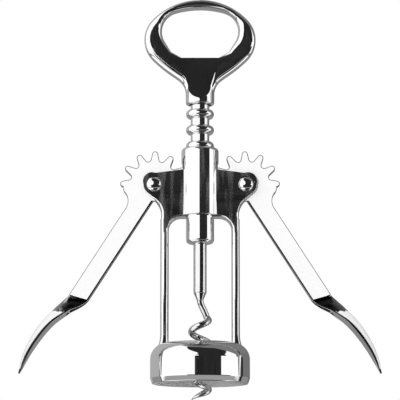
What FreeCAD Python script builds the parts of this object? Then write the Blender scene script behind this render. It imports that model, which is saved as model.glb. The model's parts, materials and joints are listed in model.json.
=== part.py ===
import FreeCAD, Part
import math
import os

# Wing corkscrew with a bottle opener handle.  Millimetres, +Z up along the
# screw axis, +X across the two wings, front face towards -Y.  The origin is
# the centre of the bell's rim, where the bell sits on the bottle.

# Bell
BELL_RADIUS = 22.5
BELL_WALL = 2.4
BELL_STRAIGHT_HEIGHT = 11.0
BELL_SHOULDER_RADIUS = 7.5
BELL_CROWN_RISE = 0.7
RIM_BEVEL_HEIGHT = 2.9
RIM_BEVEL_DEPTH = 0.7
RIM_ROUNDING = 0.5

# Guide bush in the bell's crown
BUSH_WALL = 1.1
BUSH_FLANGE = 2.6
BUSH_FLANGE_THICKNESS = 1.2

# Legs, between the bell and the ears
WINDOW_HALF_WIDTH = 14.2
LEG_WIDTH = 3.8
LEG_DEPTH = 6.8
LEG_EDGE = 1.2
LEG_ROOT_HEIGHT = 3.2
LEG_ROOT_FLARE = 1.8

# Ears and the web that carries them, placed by the levers' pivots
PIVOT_HEIGHT = 90.5
WINDOW_DROP = 15.3
WINDOW_CORNER = 5.5
WEB_HEIGHT = 21.4
EAR_DEPTH = 8.4
WEB_DEPTH = 6.8
WEB_EDGE = 0.7
EAR_RADIUS = 4.9
EAR_TOP = 5.4
EAR_SWEEP = 6.5

# Sleeve that guides the rack
SLEEVE_WALL = 2.0
SLEEVE_LIFT = 1.1
SLEEVE_LENGTH = 31.3
SLEEVE_SHOULDER = 1.7
SLEEVE_FOOT = 0.5

# Ring rack and the levers' teeth that it drives
RING_PITCH = 7.4
RING_COUNT = 6
RING_RADIUS = 6.4
RING_SECTION = 2.2
RING_FLATS = 3
RACK_NECK_RADIUS = 4.25
RACK_DROP = 27.0
RACK_END_ROUNDING = 2.0
RING_MESH_OFFSET = 0.49
TOOTH_DIVISION = 12
TOOTH_COUNT = 8
TOOTH_FIRST_ANGLE = -88.0
TOOTH_TIP_HEIGHT = 1.3
TOOTH_TIP_RADIUS = 1.35
TOOTH_ROOT_HALF_WIDTH = 2.9
GULLET_DEPTH = 5.0
GULLET_FILLET = 1.25
PITCH_LINE_RISE = 0.35

# Levers
LEVER_THICKNESS = 4.3
LEVER_SPREAD_ANGLE = 32.7
ARM_LENGTH = 60.0
ARM_INNER_EDGE = 3.75
ARM_OUTER_EDGE = 5.1
ARM_INNER_ROUNDING = 1.2
ARM_OUTER_ROUNDING = 0.4
HEEL_RADIUS = 6.0
HEEL_DROP = 15.9
HEAD_TRIM = 7.3
PADDLE_LENGTH = 44.9
PADDLE_HALF_WIDTH = 7.6
PADDLE_RIM = 1.3

# Pivot rivets
PIN_RADIUS = 2.0
PIN_HEAD_RADIUS = 3.35
PIN_HEAD_HEIGHT = 1.8
PIN_SEAT_MARGIN = 0.6
PIN_SEAT_DEPTH = 0.4

# Handle with the crown cap opener
LOOP_TOP = 176.8
LOOP_TOP_RADIUS = 30.0
LOOP_SIDE_RADIUS = 13.5
LOOP_LOWER_RADIUS = 60.0
LOOP_SHOULDER = 4.3
LOOP_WALL_TOP = 4.4
HOLE_TOP_RADIUS = 40.0
HOLE_CORNER_RADIUS = 9.0
HOLE_SIDE_RADIUS = 9.9
HOLE_FLANK = 5.9
YOKE_FLARE_RADIUS = 8.3
LOOP_DEPTH = 7.6
LOOP_EDGE = 2.0
HOLE_EDGE = 1.2
LIP_HEIGHT = 149.5
LIP_HALF_WIDTH = 9.0
YOKE_HALF_WIDTH = 6.5
YOKE_EDGE = 1.0
YOKE_POST_HEIGHT = 8.0
YOKE_POST_CROWN = 6.5
OPENER_PLATE_THICKNESS = 3.6
POCKET_EDGE = 1.6
POCKET_CURVE_DROP = 7.0
POCKET_WAIST_DROP = 13.0
COUNTERBORE_DEPTH = 2.4

# Spindle and worm
SPINDLE_RADIUS = 3.0
TANG_RADIUS = 1.3
TANG_LENGTH = 8.0
SPINDLE_END = 41.3
SPINDLE_TAPER = 3.4
WORM_WIRE_RADIUS = 1.5
WIRE_SIDES = 8
WIRE_STEPS = 12
WORM_RADIUS = 5.4
WORM_PITCH = 10.4
WORM_TIP = -7.1
WORM_RIGHT_TURN = 28.8
WORM_LEAD_IN = 9.8
WORM_TURN_EASE = 1.0
WORM_POINT_RISE = 3.0
WORM_POINT_RADIUS = 0.3

# Washer over the rack and snap ring under it
WASHER_THICKNESS = 0.8
WASHER_RADIUS = 5.0
SNAP_RING_THICKNESS = 1.0
SNAP_RING_WIDTH = 1.2
SNAP_GROOVE_DEPTH = 0.5

# Running clearances
SHAFT_CLEARANCE = 0.06
SLEEVE_CLEARANCE = 0.08
LEVER_SIDE_CLEARANCE = 0.2
TOOTH_CLEARANCE = 0.6
WORM_CLEARANCE = 0.5
SEAT_CLEARANCE = 0.1

# Worked out from the sizes above
ring_bore = SPINDLE_RADIUS + SHAFT_CLEARANCE
sleeve_bore = RING_RADIUS + SLEEVE_CLEARANCE
sleeve_radius = sleeve_bore + SLEEVE_WALL
pitch_radius = RING_PITCH * TOOTH_DIVISION / (2.0 * math.pi)
tip_radius = pitch_radius + TOOTH_TIP_HEIGHT
gullet_radius = tip_radius - GULLET_DEPTH
pivot_x = RING_RADIUS + PITCH_LINE_RISE + pitch_radius
tooth_step = 360.0 / TOOTH_DIVISION
lever_slot = LEVER_THICKNESS + 2.0 * LEVER_SIDE_CLEARANCE
pin_reach = EAR_DEPTH / 2.0 - PIN_SEAT_DEPTH
slot_radius = tip_radius + TOOTH_CLEARANCE
leg_outer = WINDOW_HALF_WIDTH + LEG_WIDTH
shoulder_centre = BELL_RADIUS - BELL_SHOULDER_RADIUS
bell_shoulder_top = BELL_STRAIGHT_HEIGHT + BELL_SHOULDER_RADIUS
bell_top = bell_shoulder_top + BELL_CROWN_RISE
leg_foot = bell_shoulder_top + LEG_ROOT_HEIGHT
bush_bore = WORM_RADIUS + WORM_CLEARANCE
bush_radius = bush_bore + BUSH_WALL
window_top = PIVOT_HEIGHT - WINDOW_DROP
web_top = window_top + WEB_HEIGHT
sleeve_bottom = window_top + SLEEVE_LIFT
sleeve_top = sleeve_bottom + SLEEVE_LENGTH
rack_bottom = PIVOT_HEIGHT - RACK_DROP
first_gap = PIVOT_HEIGHT - RING_MESH_OFFSET
rack_collar_top = first_gap - 1.5 * RING_PITCH
yoke_base = first_gap + RING_PITCH * (RING_COUNT - 1) + 0.6
rack_top = yoke_base + COUNTERBORE_DEPTH - WASHER_THICKNESS


def vec(x, z, y=0.0):
    return FreeCAD.Vector(x, y, z)


def outline(start, *steps):
    """Face in the XZ plane.  A step is a corner (x, z), or the middle and end of an arc."""
    here = vec(*start)
    edges = []
    for step in steps:
        if isinstance(step[0], tuple):
            end = vec(*step[1])
            edges.append(Part.Arc(here, vec(*step[0]), end).toShape())
        else:
            end = vec(*step)
            edges.append(Part.LineSegment(here, end).toShape())
        here = end
    if here.distanceToPoint(vec(*start)) > 1e-6:
        edges.append(Part.LineSegment(here, vec(*start)).toShape())
    return Part.Face(Part.Wire(edges))


def slab(face, depth):
    """The XZ face as a solid that reaches depth / 2 to each side of Y = 0."""
    solid = face.extrude(FreeCAD.Vector(0, depth, 0))
    solid.translate(FreeCAD.Vector(0, -depth / 2.0, 0))
    return solid


def turned(face):
    return face.revolve(vec(0, 0), vec(0, 1), 360)


def disc(radius, x, z, depth):
    """A round bar along Y, centred on Y = 0."""
    return Part.makeCylinder(radius, depth, vec(x, z, -depth / 2.0), FreeCAD.Vector(0, 1, 0))


def column(radius, low, high):
    return Part.makeCylinder(radius, high - low, vec(0, low))


def mirrored(shape):
    return shape.mirror(FreeCAD.Vector(0, 0, 0), FreeCAD.Vector(1, 0, 0))


def polar(radius, angle, x=0.0, z=0.0):
    """Point at an angle from +X towards +Z."""
    turn = math.radians(angle)
    return (x + radius * math.cos(turn), z + radius * math.sin(turn))


def flats(centre, radius, start, end, count=3):
    """A round stretch of a turned profile as a few flats, first point left out."""
    turns = [start + (end - start) * (i + 1) / count for i in range(count)]
    return [polar(radius, turn, *centre) for turn in turns]


def edges_along_face(shape, y):
    """The edges that lie in one plane of constant Y."""
    found = []
    for edge in shape.Edges:
        box = edge.BoundBox
        if abs(box.YMin - y) < 1e-4 and abs(box.YMax - y) < 1e-4:
            found.append(edge)
    return found


def save(shape, node):
    shape = shape.removeSplitter()
    if len(shape.Solids) == 1:
        shape = shape.Solids[0]
    shape.exportStep("parts/" + node + ".step")
    print(node, shape.isValid(), round(shape.Volume, 1), len(shape.Solids))


def bell_profile(inset):
    """Half section of the bell's outside, set in by a wall thickness."""
    radius = BELL_RADIUS - inset
    turn = BELL_SHOULDER_RADIUS - inset
    top = bell_shoulder_top - inset
    bottom = 0.0 if inset == 0.0 else -1.0
    bevel = RIM_BEVEL_DEPTH if inset == 0.0 else 0.0
    return outline(
        (0, bottom),
        (radius - bevel - RIM_ROUNDING, bottom),
        (radius - bevel, bottom + RIM_ROUNDING),
        (radius, bottom + RIM_BEVEL_HEIGHT),
        (radius, BELL_STRAIGHT_HEIGHT),
        *flats((shoulder_centre, BELL_STRAIGHT_HEIGHT), turn, 0, 90),
        (0, top + BELL_CROWN_RISE),
    )


def leg_bar(low, high):
    """One straight leg of rounded section on the +X side."""
    box = Part.makeBox(LEG_WIDTH, LEG_DEPTH, high - low, vec(WINDOW_HALF_WIDTH, low, -LEG_DEPTH / 2.0))
    upright = [e for e in box.Edges if e.BoundBox.ZLength > high - low - 0.01]
    return box.makeChamfer(LEG_EDGE, upright)


def leg_root():
    """The foot of a leg, which flares outwards into the bell's shoulder."""
    low = BELL_STRAIGHT_HEIGHT + BELL_SHOULDER_RADIUS * 0.55
    face = outline(
        (WINDOW_HALF_WIDTH, low),
        (leg_outer + LEG_ROOT_FLARE, low),
        ((leg_outer + LEG_ROOT_FLARE * 0.28, (low + leg_foot) / 2.0), (leg_outer, leg_foot)),
        (WINDOW_HALF_WIDTH, leg_foot),
    )
    root = slab(face, LEG_DEPTH)
    upright = [e for e in root.Edges if e.BoundBox.YLength < 0.01 and e.BoundBox.ZLength > 3.0]
    return root.makeChamfer(LEG_EDGE, upright)


def bell():
    shell = turned(bell_profile(0.0))
    root = leg_root()
    shell = shell.fuse([root, mirrored(root)])
    shell = shell.cut(turned(bell_profile(BELL_WALL)))
    return shell.cut(column(bush_radius, 0, leg_foot))


def worm_guide_bush():
    """Plastic ring in the bell's crown that keeps the worm in the middle of the cork."""
    ceiling = bell_shoulder_top - BELL_WALL
    seat = ceiling + BELL_CROWN_RISE * (1.0 - (bush_radius + BUSH_FLANGE) / shoulder_centre)
    tube = column(bush_radius, ceiling, bell_top)
    flange = column(bush_radius + BUSH_FLANGE, seat - BUSH_FLANGE_THICKNESS, seat)
    bush = tube.fuse(flange)
    return bush.cut(column(bush_bore, 0, bell_top + 1.0))


def web_outline():
    """Right half of the web: top edge, ear, sweep to the leg, window corner."""
    ear_end = pivot_x + EAR_RADIUS
    ear_top = PIVOT_HEIGHT + EAR_TOP
    nub = polar(EAR_RADIUS + 1.0, -80, pivot_x, PIVOT_HEIGHT)
    sweep_end = (leg_outer, nub[1] - EAR_SWEEP * 1.6)
    corner = (WINDOW_HALF_WIDTH - WINDOW_CORNER, window_top - WINDOW_CORNER)
    leg_top = window_top - WINDOW_CORNER
    return outline(
        (0, web_top),
        (pivot_x - 0.6, ear_top),
        (polar(EAR_RADIUS + 0.9, 45, pivot_x, PIVOT_HEIGHT), (ear_end, PIVOT_HEIGHT)),
        (polar(EAR_RADIUS, -30, pivot_x, PIVOT_HEIGHT), polar(EAR_RADIUS, -55, pivot_x, PIVOT_HEIGHT)),
        nub,
        ((leg_outer + 0.9, nub[1] - EAR_SWEEP * 0.55), sweep_end),
        (leg_outer, leg_top),
        (WINDOW_HALF_WIDTH, leg_top),
        (polar(WINDOW_CORNER, 45, *corner), (corner[0], window_top)),
        (0, window_top),
    )


def web_plan(low, high):
    """The web seen from above: thin beside the sleeve and flared out to the ears."""
    end = pivot_x + EAR_RADIUS + 1.0
    thin = WEB_DEPTH / 2.0
    thick = EAR_DEPTH / 2.0
    flare = (sleeve_radius + pivot_x) / 2.0
    flare_end = pivot_x - PIN_HEAD_RADIUS - 0.6
    points = [(0, thin), (flare, thin), (flare_end, thick), (end, thick)]
    points += [(x, -y) for x, y in reversed(points)]
    wire = Part.makePolygon([FreeCAD.Vector(x, y, low) for x, y in points + points[:1]])
    return Part.Face(wire).extrude(FreeCAD.Vector(0, 0, high - low))


def half_web():
    plate = slab(web_outline(), EAR_DEPTH)
    for y in (-EAR_DEPTH / 2.0, EAR_DEPTH / 2.0):
        rim = [e for e in edges_along_face(plate, y) if e.BoundBox.XMin > 0.01 or e.BoundBox.XLength > 0.01]
        plate = plate.makeChamfer(WEB_EDGE, rim)
    return plate.common(web_plan(window_top - WINDOW_CORNER - 1.0, web_top + 1.0))


def sleeve():
    face = outline(
        (0, sleeve_bottom),
        (sleeve_radius - SLEEVE_FOOT, sleeve_bottom),
        (sleeve_radius, sleeve_bottom + SLEEVE_FOOT),
        (sleeve_radius, sleeve_top - SLEEVE_SHOULDER),
        *flats((sleeve_radius - SLEEVE_SHOULDER, sleeve_top - SLEEVE_SHOULDER), SLEEVE_SHOULDER, 0, 90, 2),
        (0, sleeve_top),
    )
    return turned(face)


def frame_casting():
    """Sleeve, web, slotted ears and legs, cast in one."""
    half = half_web().fuse(leg_bar(leg_foot, window_top - WINDOW_CORNER + 1.0))
    body = sleeve().fuse([half, mirrored(half)])
    cuts = [column(sleeve_bore, 0, sleeve_top + 1.0)]
    for side in (-1, 1):
        cuts.append(disc(slot_radius, side * pivot_x, PIVOT_HEIGHT, lever_slot))
        cuts.append(disc(PIN_RADIUS + SEAT_CLEARANCE / 2.0, side * pivot_x, PIVOT_HEIGHT, 2.0 * EAR_DEPTH))
        seat = disc(PIN_HEAD_RADIUS + PIN_SEAT_MARGIN, side * pivot_x, PIVOT_HEIGHT, 2.0 * EAR_DEPTH)
        cuts.append(seat.cut(disc(2.0 * PIN_HEAD_RADIUS, side * pivot_x, PIVOT_HEIGHT, 2.0 * pin_reach)))
    return body.cut(cuts)


def pivot_pin(side):
    """Rivet with a domed head in front and a flatter formed head behind."""
    face = outline(
        (0, -pin_reach - PIN_HEAD_HEIGHT),
        (PIN_HEAD_RADIUS * 0.7, -pin_reach - PIN_HEAD_HEIGHT * 0.7),
        (PIN_HEAD_RADIUS, -pin_reach),
        (PIN_RADIUS, -pin_reach),
        (PIN_RADIUS, pin_reach),
        (PIN_HEAD_RADIUS, pin_reach),
        (PIN_HEAD_RADIUS * 0.7, pin_reach + PIN_HEAD_HEIGHT * 0.6),
        (0, pin_reach + PIN_HEAD_HEIGHT * 0.6),
    )
    pin = turned(face)
    pin.rotate(vec(0, 0), FreeCAD.Vector(1, 0, 0), -90)
    pin.translate(vec(side * pivot_x, PIVOT_HEIGHT))
    return pin


def tooth(angle):
    """One tooth of the left lever, at an angle from straight up towards the rack."""
    centre = tip_radius - TOOTH_TIP_RADIUS
    root = gullet_radius - 1.0
    lean = math.asin((TOOTH_ROOT_HALF_WIDTH - TOOTH_TIP_RADIUS) / (centre - root))
    side = TOOTH_TIP_RADIUS * math.cos(lean)
    rise = TOOTH_TIP_RADIUS * math.sin(lean)
    face = outline(
        (-TOOTH_ROOT_HALF_WIDTH, root),
        (-side, centre + rise),
        ((0, tip_radius), (side, centre + rise)),
        (TOOTH_ROOT_HALF_WIDTH, root),
    )
    blank = slab(face, LEVER_THICKNESS)
    blank.rotate(vec(0, 0), FreeCAD.Vector(0, 1, 0), angle)
    return blank


def lever_head():
    """Toothed sector round the pivot, with rounded gullets between the teeth."""
    head = disc(gullet_radius, 0, 0, LEVER_THICKNESS)
    teeth = [tooth(TOOTH_FIRST_ANGLE + tooth_step * i) for i in range(TOOTH_COUNT)]
    floor = []
    gullets = []
    for i in range(TOOTH_COUNT - 1):
        angle = 90.0 - TOOTH_FIRST_ANGLE - tooth_step * (i + 0.5)
        floor.append(disc(GULLET_FILLET * 1.2, *polar(gullet_radius, angle), LEVER_THICKNESS))
        gullets.append(disc(GULLET_FILLET, *polar(gullet_radius + 1.4 * GULLET_FILLET, angle), 2.0 * LEVER_THICKNESS))
    trim = slab(Part.Face(Part.makePolygon([
        vec(*corner) for corner in ((-3.0, -HEAD_TRIM), (6.3, -HEAD_TRIM), (6.3, -tip_radius), (-3.0, -tip_radius), (-3.0, -HEAD_TRIM))
    ])), 2.0 * LEVER_THICKNESS)
    return head.fuse(teeth + floor).cut(gullets + [trim])


def heel():
    """Corner between the outermost tooth and the arm's outer side, hollowed by a round."""
    tooth_side = polar(tip_radius - 0.8 * TOOTH_TIP_RADIUS, 95.0 - TOOTH_FIRST_ANGLE + LEVER_SPREAD_ANGLE)
    face = outline((0, 0), tooth_side, (-ARM_OUTER_EDGE, -HEEL_DROP), (0, -HEEL_DROP))
    hollow = disc(HEEL_RADIUS, -ARM_OUTER_EDGE - HEEL_RADIUS, -HEEL_DROP, 2.0 * LEVER_THICKNESS)
    return slab(face, LEVER_THICKNESS).cut(hollow)


def lever_arm():
    """Flat arm that hangs straight down, its inner side towards +X."""
    face = outline(
        (ARM_INNER_EDGE, 0),
        (ARM_INNER_EDGE, -ARM_LENGTH),
        (-ARM_OUTER_EDGE, -ARM_LENGTH),
        (-ARM_OUTER_EDGE, 0),
    )
    arm = slab(face, LEVER_THICKNESS)
    long_edges = [e for e in arm.Edges if e.BoundBox.ZLength > ARM_LENGTH * 0.9]
    arm = arm.makeFillet(ARM_INNER_ROUNDING, [e for e in long_edges if e.BoundBox.XMin > 0])
    long_edges = [e for e in arm.Edges if e.BoundBox.ZLength > ARM_LENGTH * 0.9 and e.BoundBox.XMax < 0]
    return arm.makeFillet(ARM_OUTER_ROUNDING, long_edges)


def paddle_section(share, outer, inner, width_share):
    """Crescent across the paddle: crowned outside, dished inside."""
    z = -(ARM_LENGTH + PADDLE_LENGTH * share)
    half = max(PADDLE_HALF_WIDTH * width_share, 0.5)
    body = inner - outer
    rim = min(PADDLE_RIM, body * 0.5)
    crown = body - rim
    dish = crown * 0.75 * width_share
    across = (-1.0, -0.55, 0.0, 0.55, 1.0)
    outside = [vec(outer + crown * s * s, z, half * s) for s in across]
    inside = [vec(inner - dish * (1.0 - s * s), z, half * s) for s in reversed(across)]
    return Part.makePolygon(outside + inside + outside[:1])


def paddle():
    """Curved thumb rest: it widens from the arm, bows outwards and ends in a point."""
    stations = [
        (-0.06, -ARM_OUTER_EDGE, ARM_INNER_EDGE, 0.27),
        (0.06, -ARM_OUTER_EDGE - 0.8, 2.75, 0.46),
        (0.18, -ARM_OUTER_EDGE - 2.0, -0.6, 0.74),
        (0.36, -ARM_OUTER_EDGE - 3.5, -3.8, 0.96),
        (0.55, -ARM_OUTER_EDGE - 4.2, -5.2, 1.0),
        (0.74, -ARM_OUTER_EDGE - 3.65, -5.5, 0.86),
        (0.90, -ARM_OUTER_EDGE - 1.9, -4.95, 0.52),
        (1.0, -ARM_OUTER_EDGE - 0.1, -4.4, 0.10),
    ]
    sections = [paddle_section(*station) for station in stations]
    return Part.makeLoft(sections, True, True)


def left_lever():
    bar = lever_arm().fuse([paddle(), heel()])
    bar.rotate(vec(0, 0), FreeCAD.Vector(0, 1, 0), LEVER_SPREAD_ANGLE)
    lever = lever_head().fuse(bar)
    lever = lever.cut(disc(PIN_RADIUS + SHAFT_CLEARANCE, 0, 0, 2.0 * LEVER_THICKNESS))
    lever.translate(vec(-pivot_x, PIVOT_HEIGHT))
    return lever


def rack_sleeve():
    """Tube with round rings that mesh with the levers' teeth whichever way it is turned."""
    centre = RING_RADIUS - RING_SECTION
    start = math.degrees(math.acos((RACK_NECK_RADIUS - centre) / RING_SECTION))
    foot = (RING_RADIUS - RACK_END_ROUNDING, rack_bottom + RACK_END_ROUNDING)
    steps = [(foot[0], rack_bottom)]
    steps += flats(foot, RACK_END_ROUNDING, -90, 0, 2)
    steps.append((RING_RADIUS, rack_collar_top))
    steps += flats((centre, rack_collar_top), RING_SECTION, 0, start, 2)
    for i in range(1, RING_COUNT + 1):
        middle = (centre, rack_collar_top + RING_PITCH * i)
        steps.append(polar(RING_SECTION, -start, *middle))
        steps += flats(middle, RING_SECTION, -start, start, RING_FLATS)
    steps.append((RACK_NECK_RADIUS, rack_top))
    steps.append((ring_bore, rack_top))
    body = turned(outline((ring_bore, rack_bottom), *steps))
    pocket = column(SPINDLE_RADIUS + SNAP_RING_WIDTH, rack_bottom - 1.0, rack_bottom + 2.0 * SNAP_RING_THICKNESS)
    return body.cut(pocket)


def thrust_washer():
    low = rack_top
    ring = column(WASHER_RADIUS, low, low + WASHER_THICKNESS)
    return ring.cut(column(ring_bore, low - 1.0, low + 2.0))


def snap_ring():
    """Ring in the spindle's groove, open at the back, that lifts the rack with the worm."""
    low = rack_bottom + SNAP_RING_THICKNESS - SEAT_CLEARANCE
    inner = SPINDLE_RADIUS - SNAP_GROOVE_DEPTH
    outer = SPINDLE_RADIUS + SNAP_RING_WIDTH - SEAT_CLEARANCE
    ring = column(outer, low, low + SNAP_RING_THICKNESS)
    ring = ring.cut(column(inner, low - 1.0, low + 3.0))
    gap = Part.makeBox(2.4, 2.0 * outer, 3.0, vec(-1.2, low - 1.0, 0))
    return ring.cut(gap)


def flowing_half(top, *moves):
    """Edges from the top of a symmetric loop down its right side, each tangent to the last.

    A move is (radius, turn in degrees) for an arc, negative to bend outwards, or a straight length.
    """
    x, z = top
    heading = 0.0
    edges = []
    for move in moves:
        start = vec(x, z)
        if isinstance(move, tuple):
            radius, turn = move
            way = 1.0 if turn > 0 else -1.0
            middle = heading + turn / 2.0
            heading += turn
            centre_x = x - way * radius * math.sin(math.radians(heading - turn))
            centre_z = z - way * radius * math.cos(math.radians(heading - turn))
            points = []
            for angle in (middle, heading):
                points.append((
                    centre_x + way * radius * math.sin(math.radians(angle)),
                    centre_z + way * radius * math.cos(math.radians(angle)),
                ))
            x, z = points[1]
            edges.append(Part.Arc(start, vec(*points[0]), vec(x, z)).toShape())
        else:
            x += move * math.cos(math.radians(heading))
            z -= move * math.sin(math.radians(heading))
            edges.append(Part.makeLine(start, vec(x, z)))
    return edges, (x, z)


def symmetric_face(edges, end, foot):
    """Close a half loop at its foot and mirror it about the screw axis."""
    half = edges + [Part.makeLine(vec(*end), vec(*foot))]
    half += [mirrored(edge) for edge in half]
    half.append(Part.makeLine(vec(*foot), vec(-foot[0], foot[1])))
    return Part.Face(Part.Wire(Part.__sortEdges__(half)))


def handle_outline():
    """Loop and yoke from the front."""
    edges, end = flowing_half(
        (0, LOOP_TOP),
        (LOOP_TOP_RADIUS, 47),
        (LOOP_SIDE_RADIUS, 88),
        (LOOP_LOWER_RADIUS, 10),
        LOOP_SHOULDER,
        (YOKE_FLARE_RADIUS, -51),
    )
    return symmetric_face(edges, end, (YOKE_HALF_WIDTH, yoke_base))


def loop_hole():
    """Oval hole with the straight lip that lifts the cap along its bottom."""
    edges, end = flowing_half(
        (0, LOOP_TOP - LOOP_WALL_TOP),
        (HOLE_TOP_RADIUS, 16),
        (HOLE_CORNER_RADIUS, 74),
        (HOLE_SIDE_RADIUS, 30),
        HOLE_FLANK,
    )
    return symmetric_face(edges, end, (LIP_HALF_WIDTH, LIP_HEIGHT))


def pocket_outline():
    """Shield-shaped hollow in front and behind, which leaves the thin opener plate."""
    foot = yoke_base + COUNTERBORE_DEPTH + 0.6
    waist = (YOKE_HALF_WIDTH - POCKET_EDGE, LIP_HEIGHT - POCKET_WAIST_DROP)
    curve = (waist[0] + POCKET_EDGE, LIP_HEIGHT - POCKET_CURVE_DROP)
    low = (waist[0] * 0.75, foot + 2.6)
    return outline(
        (LIP_HALF_WIDTH, LIP_HEIGHT + 1.0),
        (curve, waist),
        low,
        ((0, foot), (-low[0], low[1])),
        (-waist[0], waist[1]),
        ((-curve[0], curve[1]), (-LIP_HALF_WIDTH, LIP_HEIGHT + 1.0)),
    )


def yoke_post():
    """Round foot of the handle, which runs up into the flat of the loop."""
    straight_top = yoke_base + YOKE_POST_HEIGHT
    corner = (YOKE_HALF_WIDTH - YOKE_EDGE, yoke_base + YOKE_EDGE)
    face = outline(
        (0, yoke_base),
        (corner[0], yoke_base),
        *flats(corner, YOKE_EDGE, -90, 0, 2),
        (YOKE_HALF_WIDTH, straight_top),
        (YOKE_HALF_WIDTH * 0.8, straight_top + YOKE_POST_CROWN * 0.6),
        (YOKE_HALF_WIDTH * 0.3, straight_top + YOKE_POST_CROWN),
        (0, straight_top + YOKE_POST_CROWN),
    )
    return turned(face)


def loop():
    """Flat loop with bevelled rims outside and inside; the opener lip keeps its sharp edge."""
    body = slab(handle_outline(), LOOP_DEPTH)
    rim = [e for e in body.Edges if e.BoundBox.YLength < 1e-4 and e.BoundBox.ZMax > yoke_base + 1.0]
    body = body.makeChamfer(LOOP_EDGE, rim)
    hole = loop_hole()
    body = body.cut(slab(hole, LOOP_DEPTH))
    room = hole.BoundBox
    room.enlarge(0.01)
    rim = []
    for edge in body.Edges:
        box = edge.BoundBox
        inside = box.XMin > room.XMin and box.XMax < room.XMax and box.ZMin > room.ZMin and box.ZMax < room.ZMax
        if inside and box.YLength < 1e-4 and box.ZLength > 0.1:
            rim.append(edge)
    return body.makeChamfer(HOLE_EDGE, rim)


def handle():
    """Loop, yoke and opener lip, cast in one round the spindle's tang."""
    above = column(LOOP_TOP - yoke_base, yoke_base + YOKE_EDGE, LOOP_TOP + 1.0)
    body = loop().common(above).fuse(yoke_post())
    for side in (-1, 1):
        pocket = slab(pocket_outline(), LOOP_DEPTH)
        pocket.translate(FreeCAD.Vector(0, side * (LOOP_DEPTH + OPENER_PLATE_THICKNESS) / 2.0, 0))
        body = body.cut(pocket)
    washer_seat = yoke_base + COUNTERBORE_DEPTH
    body = body.cut(column(WASHER_RADIUS + SEAT_CLEARANCE, yoke_base - 1.0, washer_seat))
    return body.cut(column(TANG_RADIUS, yoke_base, washer_seat + TANG_LENGTH))


def worm_turn(height):
    """Angle round the axis; above the first right-hand turn it eases to a stop."""
    above = min(max(height - WORM_RIGHT_TURN, 0.0), 2.0 * WORM_TURN_EASE)
    below = min(height - WORM_RIGHT_TURN, 0.0)
    return 2.0 * math.pi * (below + above - above * above / (4.0 * WORM_TURN_EASE)) / WORM_PITCH


def worm_point(height):
    """Point on the worm's centre line; it leaves the axis over the lead-in."""
    turn = worm_turn(height)
    share = min(max((WORM_RIGHT_TURN + WORM_LEAD_IN - height) / WORM_LEAD_IN, 0.0), 1.0)
    spread = (WORM_RADIUS - WORM_WIRE_RADIUS) * share * share * (3.0 - 2.0 * share)
    return vec(spread * math.cos(turn), height, spread * math.sin(turn))


def worm_section(height):
    """Eight-sided section across the worm's wire, which narrows to the point."""
    here = worm_point(height)
    along = (worm_point(height - 0.01) - worm_point(height + 0.01)).normalize()
    radius = WORM_WIRE_RADIUS
    if height < WORM_TIP + WORM_POINT_RISE:
        share = (height - WORM_TIP) / WORM_POINT_RISE
        radius = WORM_POINT_RADIUS + (WORM_WIRE_RADIUS - WORM_POINT_RADIUS) * share
    turn = worm_turn(height)
    outward = FreeCAD.Vector(math.cos(turn), math.sin(turn), 0)
    second = along.cross(outward).normalize()
    first = second.cross(along)
    points = []
    for i in range(WIRE_SIDES):
        angle = 2.0 * math.pi * (i + 0.5) / WIRE_SIDES
        points.append(here + first * (radius * math.cos(angle)) + second * (radius * math.sin(angle)))
    return Part.makePolygon(points + points[:1])


def worm_spindle():
    """Spindle and worm drawn from one bar."""
    top = yoke_base + COUNTERBORE_DEPTH
    rod = column(SPINDLE_RADIUS, SPINDLE_END, top).fuse(column(TANG_RADIUS, top - 1.0, top + TANG_LENGTH))
    groove_low = rack_bottom + SNAP_RING_THICKNESS - SEAT_CLEARANCE
    groove = column(SPINDLE_RADIUS + 1.0, groove_low, groove_low + SNAP_RING_THICKNESS)
    core = column(SPINDLE_RADIUS - SNAP_GROOVE_DEPTH, groove_low - 1.0, groove_low + 3.0)
    rod = rod.cut(groove.cut(core))
    taper = Part.makeCone(WORM_WIRE_RADIUS, SPINDLE_RADIUS, SPINDLE_TAPER, vec(0, SPINDLE_END - SPINDLE_TAPER))
    count = int(round((SPINDLE_END - WORM_TIP) * WIRE_STEPS / WORM_PITCH))
    heights = [SPINDLE_END + (WORM_TIP - SPINDLE_END) * i / count for i in range(count + 1)]
    wire = Part.makeLoft([worm_section(height) for height in heights], True, True)
    return rod.fuse([taper, wire])


os.makedirs("parts", exist_ok=True)
save(bell(), "bell")
save(worm_guide_bush(), "worm_guide_bush")
save(frame_casting(), "frame_casting")
save(pivot_pin(-1), "left_pivot_pin")
save(pivot_pin(1), "right_pivot_pin")
lever = left_lever()
save(lever, "left_lever")
save(mirrored(lever), "right_lever")
save(rack_sleeve(), "rack_sleeve")
save(thrust_washer(), "thrust_washer")
save(snap_ring(), "snap_ring")
save(handle(), "handle")
save(worm_spindle(), "worm_spindle")
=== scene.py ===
import json
import math

import bmesh
import bpy
from mathutils import Matrix, Vector


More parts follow.
